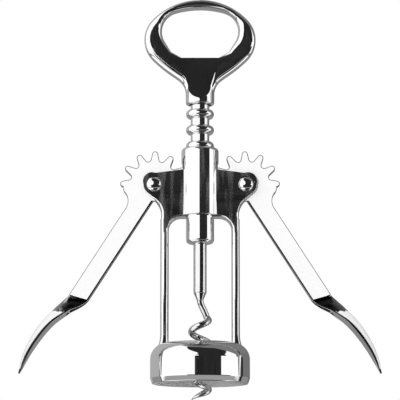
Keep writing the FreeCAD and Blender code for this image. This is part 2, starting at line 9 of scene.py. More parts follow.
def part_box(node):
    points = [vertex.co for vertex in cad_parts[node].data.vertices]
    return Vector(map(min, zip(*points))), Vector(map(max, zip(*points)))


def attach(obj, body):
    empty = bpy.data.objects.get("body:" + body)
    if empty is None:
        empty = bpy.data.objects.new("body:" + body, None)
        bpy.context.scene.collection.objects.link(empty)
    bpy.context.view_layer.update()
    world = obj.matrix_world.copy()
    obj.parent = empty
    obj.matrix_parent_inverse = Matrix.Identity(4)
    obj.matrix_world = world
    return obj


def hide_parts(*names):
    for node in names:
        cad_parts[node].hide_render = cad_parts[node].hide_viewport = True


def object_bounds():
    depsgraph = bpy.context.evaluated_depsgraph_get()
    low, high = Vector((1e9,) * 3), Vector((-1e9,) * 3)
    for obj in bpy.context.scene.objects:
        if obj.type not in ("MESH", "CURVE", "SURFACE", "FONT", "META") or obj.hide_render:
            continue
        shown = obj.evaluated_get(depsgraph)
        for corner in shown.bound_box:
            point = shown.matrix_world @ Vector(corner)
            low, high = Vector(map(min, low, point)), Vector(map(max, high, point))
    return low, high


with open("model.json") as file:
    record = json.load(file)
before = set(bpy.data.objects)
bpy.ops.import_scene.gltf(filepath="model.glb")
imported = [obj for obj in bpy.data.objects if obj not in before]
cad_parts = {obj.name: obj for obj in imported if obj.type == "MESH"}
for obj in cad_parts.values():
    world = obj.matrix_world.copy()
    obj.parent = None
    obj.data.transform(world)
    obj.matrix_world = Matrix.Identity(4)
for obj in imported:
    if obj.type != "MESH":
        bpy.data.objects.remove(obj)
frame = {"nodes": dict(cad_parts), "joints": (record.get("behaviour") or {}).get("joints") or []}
cad_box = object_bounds()


# Bell.  A die-cast zinc cup that drops over the bottle's mouth, with the flared
# feet of the two legs on its shoulder.  Turned all over outside, left as cast
# inside, then nickel and chromium plated and polished to a mirror.

def arc(x, z, radius, start, end, steps=8):
    """Points of a round stretch from one angle to another, both ends included."""
    turns = [math.radians(start + (end - start) * i / steps) for i in range(steps + 1)]
    return [(x + radius * math.cos(turn), z + radius * math.sin(turn)) for turn in turns]


def bend(first, middle, last, steps=8):
    """Points of the arc through three points, the first one left out."""
    (ax, az), (bx, bz), (cx, cz) = first, middle, last
    turn = 2.0 * (ax * (bz - cz) + bx * (cz - az) + cx * (az - bz))
    a, b, c = ax * ax + az * az, bx * bx + bz * bz, cx * cx + cz * cz
    x = (a * (bz - cz) + b * (cz - az) + c * (az - bz)) / turn
    z = (a * (cx - bx) + b * (ax - cx) + c * (bx - ax)) / turn
    start = math.atan2(az - z, ax - x)
    sweep = (math.atan2(cz - z, cx - x) - start) % (2.0 * math.pi)
    if (math.atan2(bz - z, bx - x) - start) % (2.0 * math.pi) > sweep:
        sweep -= 2.0 * math.pi
    radius = math.hypot(ax - x, az - z)
    return arc(x, z, radius, math.degrees(start), math.degrees(start + sweep), steps)[1:]


def blank(rings):
    """Closed solid from rings of points, in millimetres; a ring of one point is a pole."""
    made = bmesh.new()
    rows = [[made.verts.new(point) for point in ring] for ring in rings]
    for low, high in zip(rows, rows[1:] + rows[:1]):
        count = max(len(low), len(high))
        for i in range(count):
            below = [low[i % len(low)], low[(i + 1) % len(low)]]
            above = [high[(i + 1) % len(high)], high[i % len(high)]]
            corners = list(dict.fromkeys(below + above))
            if len(corners) > 2:
                made.faces.new(corners)
    return made


def solid(made):
    """Scene object for a closed mesh, with its faces turned outwards."""
    bmesh.ops.recalc_face_normals(made, faces=made.faces)
    mesh = bpy.data.meshes.new("blank")
    made.to_mesh(mesh)
    made.free()
    shape = bpy.data.objects.new("blank", mesh)
    bpy.context.scene.collection.objects.link(shape)
    return shape


def turned(profile, sides=128, axis=(0.0, 0.0)):
    """Solid of revolution about a vertical axis from a closed loop of (radius, height)."""
    rings = []
    for radius, height in profile:
        if radius < 1e-6:
            rings.append([(axis[0], axis[1], height)])
            continue
        ring = []
        for i in range(sides):
            turn = 2.0 * math.pi * (i + 0.5) / sides
            ring.append((axis[0] + radius * math.cos(turn), axis[1] + radius * math.sin(turn), height))
        rings.append(ring)
    return solid(blank(rings))


def plug(radius, low, high, sides=16):
    """Plain upright cylinder between two heights."""
    return turned([(0, low), (radius, low), (radius, high), (0, high)], sides)


def inset(outline, distances):
    """Closed outline, drawn anticlockwise, moved inwards by a distance at each point."""
    moved = []
    places = zip(outline[-1:] + outline[:-1], outline, outline[1:] + outline[:1], distances)
    for before, here, after, distance in places:
        first = Vector((here[0] - before[0], here[1] - before[1])).normalized()
        second = Vector((after[0] - here[0], after[1] - here[1])).normalized()
        across = Vector((-first.y - second.y, first.x + second.x)) / (1.0 + first.dot(second))
        moved.append((here[0] + across.x * distance, here[1] + across.y * distance))
    return moved


def plate(outline, depth, edge, hole=None, hole_edge=None, steps=6):
    """Flat casting across Y = 0, with its rims rounded by (width, depth) or by a function of x and z."""
    made = bmesh.new()
    half = depth / 2.0
    rims = [[], []]
    for loop, rounding, way in ((outline, edge, 1.0), (hole, hole_edge or edge, -1.0)):
        if loop is None:
            continue
        sizes = [rounding(x, z) if callable(rounding) else rounding for x, z in loop]
        rows = []
        for i in range(-steps, steps + 2):
            turn = math.radians(90.0 * ((i - 1 if i > 0 else i) / steps))
            face = 1.0 if i > 0 else -1.0
            moved = inset(loop, [way * wide * (1.0 - math.cos(turn)) for wide, deep in sizes])
            row = []
            for (x, z), (wide, deep) in zip(moved, sizes):
                row.append(made.verts.new((x, (half - deep) * face + deep * math.sin(turn), z)))
            rows.append(row)
        for low, high in zip(rows, rows[1:]):
            for i in range(len(loop)):
                made.faces.new((low[i - 1], low[i], high[i], high[i - 1]))
        for side, row in zip(rims, (rows[0], rows[-1])):
            side.append(row)
    for side in rims:
        if hole is None:
            made.faces.new(side[0])
            continue
        edges = [made.edges.get((row[i - 1], row[i])) for row in side for i in range(len(row))]
        bmesh.ops.triangle_fill(made, use_beauty=True, edges=edges)
    return solid(made)


def settled(shape):
    """The shape with its modifiers worked into a plain mesh."""
    evaluated = shape.evaluated_get(bpy.context.evaluated_depsgraph_get())
    mesh = bpy.data.meshes.new_from_object(evaluated)
    shape.modifiers.clear()
    shape.data = mesh
    return shape


def worked(shape, add=(), cut=()):
    """The shape joined to some solids, then cut by others."""
    tools = [(tool, "UNION") for tool in add] + [(tool, "DIFFERENCE") for tool in cut]
    for tool, operation in tools:
        modifier = shape.modifiers.new(operation, "BOOLEAN")
        modifier.operation = operation
        modifier.solver = "EXACT"
        modifier.object = tool
    settled(shape)
    for tool, operation in tools:
        bpy.data.objects.remove(tool)
    return shape


def fitted(shape, name, node, body, material, crease=32.0):
    """Names a finished solid, brings it to metres, shades it and seats it in the frame."""
    made = bmesh.new()
    made.from_mesh(shape.data)
    bmesh.ops.scale(made, vec=(0.001, 0.001, 0.001), verts=made.verts)
    bmesh.ops.remove_doubles(made, verts=made.verts, dist=2e-6)
    bmesh.ops.dissolve_degenerate(made, dist=1e-6, edges=made.edges)
    made.to_mesh(shape.data)
    made.free()
    shape.data.polygons.foreach_set("use_smooth", [True] * len(shape.data.polygons))
    shape.data.set_sharp_from_angle(angle=math.radians(crease))
    modifier = shape.modifiers.new("flats", "WEIGHTED_NORMAL")
    modifier.keep_sharp = True
    settled(shape)
    shape.name = name
    shape.data.name = name
    shape.data.materials.clear()
    shape.data.materials.append(material)
    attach(shape, body)
    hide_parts(node)


class Signal:
    """An output of a node, which adds, multiplies and compares as a number does."""

    def __init__(self, bench, socket):
        self.bench = bench
        self.socket = socket

    def math(self, operation, *values):
        return self.bench.add("ShaderNodeMath", {"operation": operation}, dict(enumerate(values)))

    def __add__(self, other):
        return self.math("ADD", self, other)

    __radd__ = __add__

    def __sub__(self, other):
        return self.math("SUBTRACT", self, other)

    def __rsub__(self, other):
        return self.math("SUBTRACT", other, self)

    def __mul__(self, other):
        return self.math("MULTIPLY", self, other)

    __rmul__ = __mul__

    def __truediv__(self, other):
        return self.math("DIVIDE", self, other)

    def __gt__(self, other):
        return self.math("GREATER_THAN", self, other)

    def __lt__(self, other):
        return self.math("LESS_THAN", self, other)


class Bench:
    """One node tree; every node is added by type, settings first and sockets after."""

    def __init__(self, tree):
        self.tree = tree
        tree.nodes.clear()

    def add(self, kind, settings=None, sockets=None, output=0):
        """A new node's output, with the settings and the values or links of its sockets."""
        node = self.tree.nodes.new(kind)
        for name, value in (settings or {}).items():
            if name == "stops":
                ramp = node.color_ramp.elements
                while len(ramp) < len(value):
                    ramp.new(0.5)
                for stop, (place, shade) in zip(ramp, value):
                    stop.position = place
                    stop.color = (shade, shade, shade, 1.0)
            else:
                setattr(node, name, value)
        for name, value in (sockets or {}).items():
            if isinstance(value, Signal):
                self.tree.links.new(value.socket, node.inputs[name])
            else:
                node.inputs[name].default_value = value
        return Signal(self, node.outputs[output]) if node.outputs else None


def new_material(name):
    """An empty material and the bench for its nodes."""
    material = bpy.data.materials.new(name)
    material.use_nodes = True
    return material, Bench(material.node_tree)


def noise(bench, place, scale, detail):
    """An even, cloudy value between 0 and 1."""
    return bench.add("ShaderNodeTexNoise", sockets={"Vector": place, "Scale": scale, "Detail": detail})


def finished(material, bench, sockets):
    """The material, closed by one shader with what its sockets take."""
    shader = bench.add("ShaderNodeBsdfPrincipled", sockets=sockets)
    bench.add("ShaderNodeOutputMaterial", sockets={"Surface": shader})
    return material


def plated_casting(name, shade, roughness, waviness, finish=None):
    """Chromium over polished zinc, with fine haze and the faint roll of a casting; finish alters it."""
    material, bench = new_material(name)
    place = bench.add("ShaderNodeTexCoord", output=3)
    haze = noise(bench, place, 160.0, 4.0)
    smears = noise(bench, place, 45.0, 2.0)
    roll = noise(bench, place, 70.0, 1.0)
    metal = {
        "Base Color": smears * (-0.06 * shade) + shade,
        "Metallic": 1.0,
        "Roughness": haze * (roughness * 0.8) + roughness * 0.6,
        "Normal": bench.add("ShaderNodeNewGeometry", output=1),
    }
    if finish:
        finish(bench, place, metal)
    rolled = {"Strength": waviness, "Distance": 0.0002, "Height": roll, "Normal": metal["Normal"]}
    metal["Normal"] = bench.add("ShaderNodeBump", sockets=rolled)
    return finished(material, bench, metal)


def parts_of(bench, vector):
    """The three numbers of a vector."""
    split = bench.tree.nodes.new("ShaderNodeSeparateXYZ")
    bench.tree.links.new(vector.socket, split.inputs[0])
    return [Signal(bench, socket) for socket in split.outputs]


bell_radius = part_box("bell")[1].x * 1000.0
bell_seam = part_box("bell")[1].z * 1000.0
bell_wall = 2.4
bell_side_top = 11.0
bell_shoulder = 7.5
bell_crown = 0.7
rim_round = 0.6
rim_bevel = (0.7, 2.9)
rim_slope = 13
rim_blend = 2.0
cavity_clearance = 0.02
bush_radius = 7.0
leg_inner = 14.2
leg_outer = 18.0
leg_depth = 6.8
leg_edge = (1.5, 2.2)
leg_flare = 1.8
seam_lap = 4.0
beyond = 40


def bell_skin(wall):
    """Half section of the bell, set in by a wall."""
    radius = bell_radius - wall
    turn = bell_shoulder - wall
    top = bell_side_top + turn
    if wall:
        low = [(radius, -1.0)]
    else:
        low = arc(radius - rim_bevel[0] - rim_round, rim_round, rim_round, -90, -rim_slope, 5)
        low += arc(radius - rim_blend, rim_bevel[1], rim_blend, -rim_slope, 0, 3)
    shoulder = arc(radius - turn, bell_side_top, turn, 0, 90, 20)
    halfway = (shoulder[-1][0] * 0.55, top + bell_crown * 0.72)
    crown = bend(shoulder[-1], halfway, (0.0, top + bell_crown), 10)
    return [(0.0, low[0][1])] + low + shoulder + crown


def bell_section():
    """Half section of the cup: up the outside to the hole for the bush, and back down the inside."""
    sides = []
    for wall in (0.0, bell_wall):
        skin = bell_skin(wall)[1:]
        kept = [point for point in skin if point[0] > bush_radius]
        last, after = kept[-1], skin[len(kept)]
        share = (last[0] - bush_radius) / (last[0] - after[0])
        sides.append(kept + [(bush_radius, last[1] + (after[1] - last[1]) * share)])
    outer, inner = sides
    return outer + inner[:0:-1] + [(inner[0][0], 0.0)]


def leg_foot(side):
    """Foot of a leg, which flares into the bell's shoulder; it is trimmed level at the seam."""
    low = bell_side_top + bell_shoulder * 0.55
    high = bell_seam + seam_lap
    wide = leg_outer + leg_flare
    halfway = (leg_outer + leg_flare * 0.28, (low + bell_seam) / 2.0)
    outline = [(leg_inner, low), (wide, low)] + bend((wide, low), halfway, (leg_outer, bell_seam), 10)
    outline += [(leg_outer, high), (leg_inner, high)]
    if side < 0:
        outline = [(-x, z) for x, z in reversed(outline)]
    return plate(outline, leg_depth, leg_edge)


bell = worked(
    turned(bell_section(), 160),
    add=[leg_foot(-1), leg_foot(1)],
    cut=[turned(bell_skin(bell_wall + cavity_clearance), 160), plug(beyond, bell_seam, bell_seam + 20)],
)


def cast_inside(bench, place, metal):
    """Faces that look towards the middle of the cup keep the dull skin of the casting."""
    middle = 0.008
    ceiling = (bell_side_top + bell_shoulder - 1.2) / 1000.0
    x, y, z = parts_of(bench, place)
    side_x, side_y, side_z = parts_of(bench, bench.add("ShaderNodeTexCoord", output=1))
    facing = x * side_x + y * side_y + (z - middle) * side_z
    inside = (facing < 0.0) * (z < ceiling)
    grain = noise(bench, place, 700.0, 3.0)
    metal["Roughness"] = metal["Roughness"] * (1.0 - inside) + inside * (grain * 0.2 + 0.42)
    metal["Metallic"] = 1.0 - inside * 0.75


bell_chrome = plated_casting("bell_chrome", 0.95, 0.04, 0.012, cast_inside)
fitted(bell, "bell_casting", "bell", "frame", bell_chrome)


# Guide bush.  A black moulded ring pressed into the hole in the bell's crown,
# which keeps the worm in the middle of the cork.  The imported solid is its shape.

def blend(bench, factor, first, second):
    """A colour between two, by a factor."""
    sockets = {"Factor": factor, 6: (*first, 1.0), 7: (*second, 1.0)}
    return bench.add("ShaderNodeMix", {"data_type": "RGBA"}, sockets, output=2)


def moulded_plastic(name):
    """Black plastic with the fine grain of its mould."""
    material, bench = new_material(name)
    place = bench.add("ShaderNodeTexCoord", output=3)
    grain = noise(bench, place, 900.0, 3.0)
    shade = blend(bench, grain, (0.012, 0.012, 0.013), (0.03, 0.03, 0.032))
    bump = bench.add("ShaderNodeBump", sockets={"Strength": 0.2, "Distance": 0.0001, "Height": grain})
    return finished(material, bench, {"Base Color": shade, "Roughness": grain * 0.2 + 0.38, "Normal": bump})


guide_plastic = moulded_plastic("moulded_guide")
for slot in frame["nodes"]["worm_guide_bush"].material_slots:
    slot.material = guide_plastic


# Frame.  One zinc casting: the sleeve that guides the rack, the web across it,
# the slotted ears that carry the levers, and the two legs down to the bell.

right_joint = next(joint for joint in frame["joints"] if joint["child"] == "right_wing")
pivot = Vector(right_joint["pos_m"]) * 1000.0
pivot_x = pivot.x
pivot_z = pivot.z
sleeve_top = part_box("frame_casting")[1].z * 1000.0
sleeve_length = 31.3
sleeve_radius = 8.48
sleeve_bore = 6.48
sleeve_top_round = 1.7
sleeve_low_round = 0.5
window_top = pivot_z - 15.3
window_corner = 5.5
web_height = 21.4
web_slope = 1.7
web_sweep = 10.4
ear_depth = 8.4
ear_radius = 4.9
ear_slot = 4.7
ear_slot_radius = 16.03
ear_edge = (0.1, 0.1)
rivet_radius = 2.0
rivet_hole = rivet_radius + 0.05
rivet_seat = 3.95
rivet_seat_depth = 0.4
rivet_reach = ear_depth / 2.0 - rivet_seat_depth


def around(radius, angle, x, z):
    """Point at a distance and an angle from a centre."""
    turn = math.radians(angle)
    return (x + radius * math.cos(turn), z + radius * math.sin(turn))


def right_web(foot):
    """Right half of the web from the top middle round the ear to the leg, and back by the window."""

    def ear(away, angle):
        """Point at an angle about the pivot, some way outside the ear's round."""
        return around(ear_radius + away, angle, pivot_x, pivot_z)

    nub = ear(1.0, -80)
    sweep = nub[1] - web_sweep
    corner = (leg_inner - window_corner, window_top - window_corner)
    points = [(0.0, window_top + web_height + web_slope), (pivot_x - 0.6, pivot_z + 5.2)]
    points += bend(points[-1], ear(0.9, 45), (pivot_x + ear_radius, pivot_z), 10)
    points += bend(points[-1], ear(0.0, -30), ear(0.0, -55), 6)
    points.append(nub)
    points += bend(nub, (leg_outer + 0.9, nub[1] - 3.6), (leg_outer, sweep), 10)
    points += [(leg_outer, foot), (leg_inner, foot), (leg_inner, corner[1])]
    points += arc(*corner, window_corner, 0, 90, 10)[1:]
    return points + [(0.0, window_top)]


def both_halves(right):
    """A closed outline, anticlockwise, from its right half drawn clockwise from the top middle."""
    left = [(-x, z) for x, z in right]
    return left + right[-2:0:-1]


def grade(value, start, run):
    """0 up to a start, 1 past a run beyond it, and even between them."""
    return min(max((value - start) / run, 0.0), 1.0)


def web_rounding(x, z):
    """Edges are round on the legs and crisp on the ears."""
    share = grade(z, pivot_z - 9.5, 5.0)
    return tuple(leg - (leg - ear) * share for leg, ear in zip(leg_edge, ear_edge))


def deepened(shape, low, high, factor):
    """The shape made deeper from one height to another, in level strips that stay flat."""
    strips = 14
    made = bmesh.new()
    made.from_mesh(shape.data)
    for i in range(strips + 1):
        everything = made.verts[:] + made.edges[:] + made.faces[:]
        level = (0.0, 0.0, low + (high - low) * i / strips)
        bmesh.ops.bisect_plane(made, geom=everything, plane_co=level, plane_no=(0.0, 0.0, 1.0))
    for corner in made.verts:
        share = grade(corner.co.z, low, high - low)
        corner.co.y *= 1.0 + (factor - 1.0) * share * share * (3.0 - 2.0 * share)
    made.to_mesh(shape.data)
    made.free()
    return shape


def bar_across(steps, x, z, sides=64):
    """Round bar along Y at a place in the XZ plane, stepped as a list of (radius, y)."""
    turns = [2.0 * math.pi * (i + 0.5) / sides for i in range(sides)]
    rings = [[(x, steps[0][1], z)]]
    for radius, y in steps:
        rings.append([(x + radius * math.cos(turn), y, z + radius * math.sin(turn)) for turn in turns])
    return solid(blank(rings + [[(x, steps[-1][1], z)]]))


sleeve_low = sleeve_top - sleeve_length
sleeve = [(0.0, sleeve_low)]
sleeve += arc(sleeve_radius - sleeve_low_round, sleeve_low + sleeve_low_round, sleeve_low_round, -90, 0, 4)
sleeve += arc(sleeve_radius - sleeve_top_round, sleeve_top - sleeve_top_round, sleeve_top_round, 0, 90, 10)
sleeve.append((0.0, sleeve_top))
bore_low = 60
bore_high = 120
cuts = [plug(sleeve_bore, bore_low, bore_high, 96)]
ear_cut = [(ear_slot_radius, -ear_slot / 2.0), (ear_slot_radius, ear_slot / 2.0)]
past_ear = 9.0
rivet_way = [(rivet_seat, -past_ear), (rivet_seat, -rivet_reach), (rivet_hole, -rivet_reach)]
rivet_way += [(radius, -y) for radius, y in reversed(rivet_way)]
for side in (-1, 1):
    cuts.append(bar_across(ear_cut, side * pivot_x, pivot_z, 128))
    cuts.append(bar_across(rivet_way, side * pivot_x, pivot_z))
cuts.append(plug(beyond, 0, bell_seam))
web = plate(both_halves(right_web(bell_seam - seam_lap)), leg_depth, web_rounding)
web = deepened(web, window_top - 8.0, pivot_z - 3.0, ear_depth / leg_depth)
casting = worked(turned(sleeve), add=[web], cut=cuts)


def grading(bench, value, given, wanted=(0.0, 1.0)):
    """A value moved from a given range to a wanted one, and held within it."""
    sockets = {"Value": value, "From Min": given[0], "From Max": given[1]}
    sockets.update({"To Min": wanted[0], "To Max": wanted[1]})
    return bench.add("ShaderNodeMapRange", sockets=sockets)


def streaked(bench, place, metal):
    """Faint upright streaks that the polishing wheel leaves on the web's flats."""
    long = bench.add("ShaderNodeVectorMath", {"operation": "MULTIPLY"}, {0: place, 1: (1.0, 1.0, 0.12)})
    streak = grading(bench, noise(bench, long, 260.0, 3.0), (0.45, 0.75))
    metal["Metallic"] = 1.0 - streak * 0.16


frame_chrome = plated_casting("frame_chrome", 0.95, 0.035, 0.004, streaked)
fitted(casting, "frame_body", "frame_casting", "frame", frame_chrome)


# Pivot rivets.  Plated steel rivets through the ears and the levers' heads: a
# high dome in front, a flatter formed head behind.

rivet_low, rivet_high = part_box("left_pivot_pin")
rivet_head = (rivet_high.x - rivet_low.x) * 500.0
dome_height = -rivet_low.y * 1000.0 - rivet_reach
back_height = rivet_high.y * 1000.0 - rivet_reach


def cap(radius, height, base, steps=10):
    """Profile of a domed head from its rim to its pole."""
    points = []
    for i in range(steps + 1):
        turn = math.radians(90.0 * i / steps)
        points.append((radius * math.cos(turn), base + height * math.sin(turn)))
    points[-1] = (0.0, base + height)
    return points


mirror_chrome = plated_casting("mirror_chrome", 0.95, 0.04, 0.015)
formed_head = cap(rivet_head, back_height, rivet_reach)
rivet_profile = cap(rivet_head, dome_height, rivet_reach)
rivet_profile += [(radius, -height) for radius, height in reversed(formed_head)]
rivet_profile += [(rivet_radius, -rivet_reach), (rivet_radius, rivet_reach)]
laid = Matrix.Rotation(math.radians(90.0), 4, "X")
both_sides = ((-1, "left"), (1, "right"))
for side, name in both_sides:
    rivet = turned(rivet_profile, 64)
    rivet.data.transform(Matrix.Translation((side * pivot_x, 0.0, pivot_z)) @ laid)
    fitted(rivet, name + "_rivet", name + "_pivot_pin", "frame", mirror_chrome)


# Levers.  Two cast wings: a toothed head that the rack's rings turn, a flat bar,
# and a dished paddle for the thumb.  The flats are polished on a belt, so they
# are a little less sharp than the turned pieces.

lever_thickness = 4.3
tooth_pitch = 7.4
tooth_division = 12
tooth_count = 8
first_tooth = -88.0
tooth_tip = 1.35
gullet = 1.25
tooth_above_pitch = 1.3
tooth_depth = 5.0
head_tip = tooth_pitch * tooth_division / (2.0 * math.pi) + tooth_above_pitch
head_root = head_tip - tooth_depth
pit_rise = 1.4 * gullet
head_shoulder = 24.0
head_relief = 14.0
head_edge = (0.4, 0.4)
pivot_bore = rivet_radius + 0.06
spread = 32.7
arm_length = 60.0
arm_inner = 3.75
arm_outer = 5.1
arm_edge = (0.35, 1.2)
heel_radius = 6.0
heel_drop = 15.9
heel_touch = 5.0
heel_start = 16.0
head_trim_top = -7.3
head_trim_low = -20.0
head_trim_sides = (-3.0, 6.3)
past_lever = 5.0
paddle_length = 44.9
paddle_half_width = 7.6
paddle_rim = 1.3
paddle_edge = (0.5, 0.6)
dish_share = 0.75
largest_round = 0.49
elbow_skew = 0.31
elbow_blend = 0.5


def belt_polish_painted_reflections(bench, place, metal):
    """Bright flats that lean a little, painted dark reflections on the edges, rim and elbow, satiny outside
    the paddle with a painted sheen; in metres.
    """
    # The darks are painted reflections: lines along the edges, lighter where an edge is hollow, and along
    # the paddle's rim. The satiny faces get a painted sheen.
    edge_painted_dark = 0.95
    hollow_edge_painted_lighter = 0.55
    rim_painted_dark = 0.92
    twist_length = 0.0115
    flat_satin_and_painted_sheen = 0.6
    painted_sheen = 0.12
    flat_lean = -0.17
    turn = math.radians(spread)

    # Place along the lever from its pivot, across it, and past the elbow's slanted line.
    x, z = parts_of(bench, place)[::2]
    out = x.math("ABSOLUTE", x) - pivot_x / 1000.0
    down = pivot_z / 1000.0 - z
    along = out * math.sin(turn) + down * math.cos(turn)
    across = down * math.sin(turn) - out * math.cos(turn)
    past = along + across * elbow_skew - (arm_length + arm_inner * elbow_skew + 0.2) / 1000.0
    arm = past < 0.0
    paddle = 1.0 - arm

    # Which way the surface looks: to the front or back, and away from the axis.
    side_x, side_y, side_z = parts_of(bench, bench.add("ShaderNodeTexCoord", output=1))
    facing = side_y.math("ABSOLUTE", side_y)
    outwards = side_x * x.math("SIGN", x) * math.cos(turn) + side_z * math.sin(turn)
    flat = facing > 0.99
    edge = (1.0 - flat) * arm
    rim = paddle * (facing + grading(bench, past, (0.0, 0.02), (0.0, 0.28)) > 0.86)

    # The twist between arm and paddle gets a painted dark reflection, mottled and lighter inside.
    dapple = noise(bench, place, 420.0, 2.0)
    twist = paddle * (past + dapple * 0.005 < twist_length) * (outwards > -0.65)
    outer_share = across + past * 0.25 + arm_outer / 1000.0 + dapple * 0.003
    shade = grading(bench, outer_share, (0.0015, 0.0055), (0.4, 0.95))
    # Painted dark reflections on the arm's edges, the paddle's rim and the elbow's twist, whichever is
    # darkest.
    dark = edge * (edge_painted_dark - (facing < 0.72) * hollow_edge_painted_lighter)
    dark = dark.math("MAXIMUM", dark.math("MAXIMUM", dark, rim * rim_painted_dark), twist * shade)
    # Satiny faces: less metallic, and their colour lifted by a painted sheen.
    satin_and_painted_sheen = paddle * (1.0 - twist) * (1.0 - rim) * (outwards > 0.1) * (facing > 0.06)
    satin_and_painted_sheen = satin_and_painted_sheen + flat * arm * flat_satin_and_painted_sheen
    metal["Base Color"] = (metal["Base Color"] + satin_and_painted_sheen * painted_sheen) * (1.0 - dark)
    metal["Metallic"] = 1.0 - satin_and_painted_sheen * 0.9
    lean = bench.add("ShaderNodeCombineXYZ", sockets={"X": flat * arm * flat_lean})
    lean = bench.add("ShaderNodeVectorMath", {"operation": "ADD"}, {0: metal["Normal"], 1: lean})
    metal["Normal"] = bench.add("ShaderNodeVectorMath", {"operation": "NORMALIZE"}, {0: lean})


belt_chrome_painted_reflections = plated_casting("belt_chrome_painted_reflections", 0.88, 0.045, 0.004, belt_polish_painted_reflections)


def toothed_head():
    """Outline of the lever's head about its pivot, teeth and rounded gullets in one line."""
    step = 360.0 / tooth_division
    points = []
    for i in range(tooth_count):
        angle = 90.0 - first_tooth - step * i
        tip = Vector(around(head_tip - tooth_tip, angle, 0, 0))
        sides = []
        for way in (1.0, -1.0):
            pit = Vector(around(head_root + pit_rise, angle + way * step / 2.0, 0, 0))
            line = pit - tip
            slope = math.atan2(line.y, line.x)
            lean = math.acos((tooth_tip + gullet) / line.length)
            touch = math.degrees(slope - way * lean)
            sides.append((pit, touch))
        (pit_before, from_angle), (pit_after, to_angle) = sides
        if i > 0:
            low = math.degrees(math.atan2(-pit_before.y, -pit_before.x))
            floor = (from_angle + 180.0 - low + 180.0) % 360.0 - 180.0
            points += arc(*pit_before, gullet, low, low + floor, 5)[1:]
        else:
            points += arc(0, 0, head_root, angle + head_shoulder, angle + head_relief, 2)
        sweep = (to_angle - from_angle) % 360.0
        points += arc(*tip, tooth_tip, from_angle, from_angle + sweep - 360.0, 12)
        if i < tooth_count - 1:
            high = math.degrees(math.atan2(-pit_after.y, -pit_after.x))
            start = to_angle + 180.0
            floor = (high - start + 180.0) % 360.0 - 180.0
            points += arc(*pit_after, gullet, start, start + floor, 5)
        else:
            last = angle - head_shoulder
            points += arc(0, 0, head_root, angle - head_relief, last, 2)
    first = 90.0 - first_tooth + head_shoulder
    points += arc(0, 0, head_root, last, first - 360.0, 40)[1:-1]
    return points[::-1]


def between(stations, share):
    """Smooth value between neighbouring stations of (share, values...)."""
    stations = [stations[0]] + stations + [stations[-1]]
    i = 1
    while i < len(stations) - 3 and share > stations[i + 1][0]:
        i += 1
    before, low, high, after = stations[i - 1:i + 3]
    t = (share - low[0]) / (high[0] - low[0])
    mixed = []
    for a, b, c, d in zip(before[1:], low[1:], high[1:], after[1:]):
        start = (c - a) / 2.0
        end = (d - b) / 2.0
        curve = (2 * b - 2 * c + start + end) * t ** 3 + (3 * c - 3 * b - 2 * start - end) * t ** 2
        mixed.append(curve + start * t + b)
    return mixed


def lever_section(z, outer, inner, half, outer_round, inner_round):
    """Closed section across the lever: crowned outside, dished inside, round at its corners."""
    body = inner - outer
    rim = min(paddle_rim, body * 0.5) if half > lever_thickness * 0.51 else body
    crown = max(body - rim, 0.0)
    dish = crown * dish_share * min(half / paddle_half_width, 1.0)
    far = outer + crown
    outer_round = min(outer_round, (inner - far) * largest_round, half * largest_round)
    inner_round = min(inner_round, (inner - far) * largest_round, half * largest_round)
    points = []
    flat = half - outer_round
    for i in range(13):
        y = -flat + 2.0 * flat * i / 12.0
        points.append((outer + crown * (y / flat) ** 2, y))
    points += arc(far + outer_round, half - outer_round, outer_round, 180, 90, 5)[1:]
    points += arc(inner - inner_round, half - inner_round, inner_round, 90, 0, 5)
    flat = half - inner_round
    for i in range(1, 13):
        y = flat - 2.0 * flat * i / 12.0
        points.append((inner - dish * (1.0 - (y / flat) ** 2), y))
    points += arc(inner - inner_round, inner_round - half, inner_round, 0, -90, 5)[1:]
    points += arc(far + outer_round, outer_round - half, outer_round, -90, -180, 5)[:-1]
    return [(x, y, z) for x, y in points]


def skinned(rings):
    """Solid from rings of points of one length, closed by flat ends."""
    made = bmesh.new()
    rows = [[made.verts.new(point) for point in ring] for ring in rings]
    for low, high in zip(rows, rows[1:]):
        for i in range(len(low)):
            made.faces.new((low[i - 1], low[i], high[i], high[i - 1]))
    made.faces.new(rows[0])
    made.faces.new(rows[-1])
    return solid(made)


def lever_bar():
    """Arm and paddle as one smooth run of sections of (share, outside, inside, half width)."""
    stations = [
        (0.0, -arm_outer, arm_inner, lever_thickness / 2.0),
        (0.075, -arm_outer - 0.8, 2.6, 3.4),
        (0.18, -arm_outer - 2.0, -0.6, 5.6),
        (0.36, -arm_outer - 3.5, -3.8, 7.3),
        (0.55, -arm_outer - 4.2, -5.2, 7.6),
        (0.74, -arm_outer - 3.65, -5.5, 6.5),
        (0.90, -arm_outer - 1.9, -4.95, 4.0),
        (1.0, -arm_outer - 0.1, -4.4, 0.8),
    ]
    rings = []
    for height, skew in ((0.0, 0.0), (-20.0, 0.0), (-40.0, 0.0), (-arm_length, elbow_skew)):
        section = lever_section(height, -arm_outer, arm_inner, lever_thickness / 2.0, *arm_edge)
        rings.append([(x, y, z - skew * (arm_inner - x)) for x, y, z in section])
    count = 60
    for i in range(1, count + 1):
        share = i / count
        outer, inner, half = between(stations, share)
        skew = elbow_skew * max(1.0 - share / elbow_blend, 0.0)
        section = lever_section(-arm_length - paddle_length * share, outer, inner, half, *paddle_edge)
        rings.append([(x, y, z - skew * (arm_inner - x)) for x, y, z in section])
    return skinned(rings)


def heel():
    """Corner between the outermost tooth and the arm, hollowed by a round."""
    angle = 90.0 + heel_touch - first_tooth + spread
    tooth_side = around(head_tip - 0.8 * tooth_tip, angle, 0, 0)
    hollow_x = -arm_outer - heel_radius
    outline = [(0.0, 0.0), tooth_side]
    near = Vector((tooth_side[0] - hollow_x, tooth_side[1] + heel_drop))
    start = math.degrees(math.atan2(near.y, near.x)) - heel_start
    outline += arc(hollow_x, -heel_drop, heel_radius, start, 0.0, 14) + [(0.0, -heel_drop)]
    return outline


